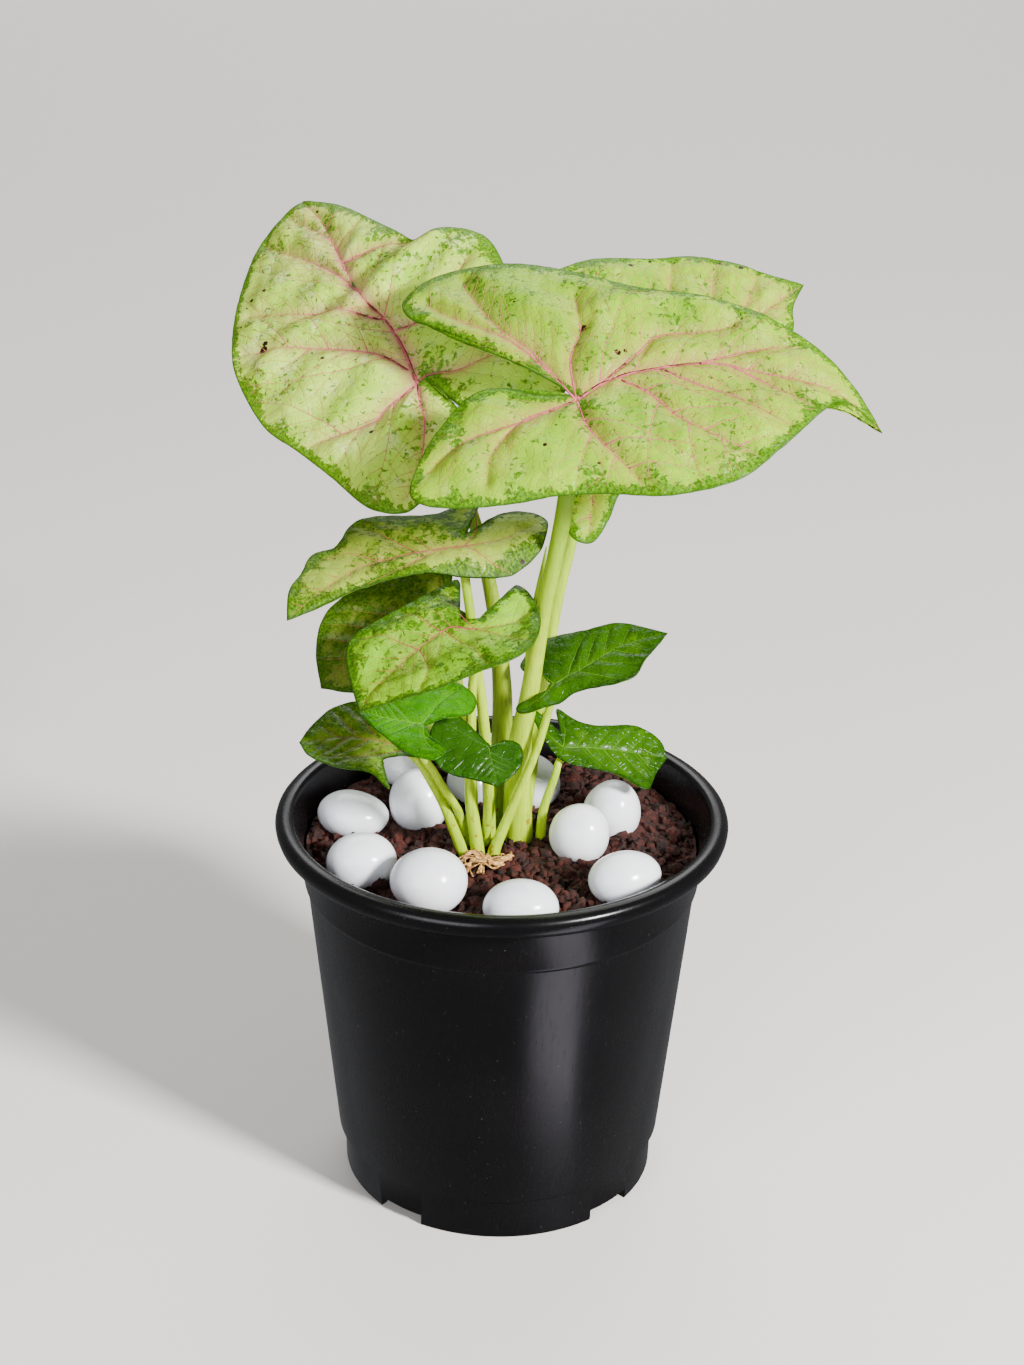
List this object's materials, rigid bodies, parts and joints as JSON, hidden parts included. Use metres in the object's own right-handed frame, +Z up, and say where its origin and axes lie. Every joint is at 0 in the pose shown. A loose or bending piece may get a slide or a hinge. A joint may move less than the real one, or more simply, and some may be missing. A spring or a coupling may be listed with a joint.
{
  "type": "potted syngonium",
  "caption": "Arrow-leaved syngonium house plant on long stalks, growing in a black round nursery pot of coco soil topped with white pebbles.",
  "frame": {"origin": "middle of the pot's underside, on the surface that the pot stands on", "axes": "+Z up along the pot's axis; -Y towards the plant's front, the side where the largest leaf stands nearest; +X towards that leaf's tip"},
  "size_m": [0.1778, 0.1659, 0.2695],
  "materials": {
    "black_plastic": "satin",
    "brown_soil": "matte",
    "white_stone": "gloss",
    "pale_leaf": "satin",
    "green_leaf": "satin",
    "dark_leaf": "satin",
    "dry_straw": "matte"
  },
  "bodies": {
    "root": {"pot": "black_plastic", "soil": "brown_soil", "pebble_1": "white_stone", "pebble_2": "white_stone", "pebble_3": "white_stone", "pebble_4": "white_stone", "pebble_5": "white_stone", "pebble_6": "white_stone", "pebble_7": "white_stone", "pebble_8": "white_stone", "pebble_9": "white_stone", "pebble_10": "white_stone", "pebble_11": "white_stone", "pebble_12": "white_stone", "leaf_back_left": "pale_leaf", "leaf_front_right": "pale_leaf", "leaf_back_right": "pale_leaf", "leaf_middle_left": "pale_leaf", "leaf_middle_front": "pale_leaf", "leaf_behind_left": "dark_leaf", "leaf_low_left": "green_leaf", "leaf_low_bright": "green_leaf", "leaf_low_heart": "dark_leaf", "leaf_low_right": "green_leaf", "leaf_lowest_right": "green_leaf", "dry_sheath": "dry_straw"}
  },
  "joints": []
}
